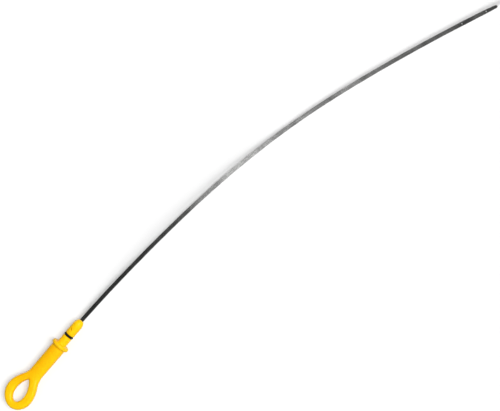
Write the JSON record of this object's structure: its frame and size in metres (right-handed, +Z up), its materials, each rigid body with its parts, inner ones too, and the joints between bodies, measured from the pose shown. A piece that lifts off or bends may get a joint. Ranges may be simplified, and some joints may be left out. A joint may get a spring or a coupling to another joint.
{
  "type": "engine oil dipstick",
  "caption": "Engine oil dipstick: a long curved flat steel gauge strip moulded into a pull handle with a finger loop, stop collar and sealed plug.",
  "frame": {"origin": "centre of the collar's tube-side face, on the plug's axis", "axes": "+X along the plug towards the gauge strip, +Z up as the dipstick lies flat; the strip curves towards -Y"},
  "size_m": [0.5872, 0.12, 0.018],
  "materials": {
    "handle": "satin moulded yellow",
    "seal": "smooth, slightly oiled",
    "blade": "brushed along the strip"
  },
  "bodies": {
    "root": {"handle": "handle", "o_ring": "seal", "blade": "blade"}
  },
  "joints": []
}
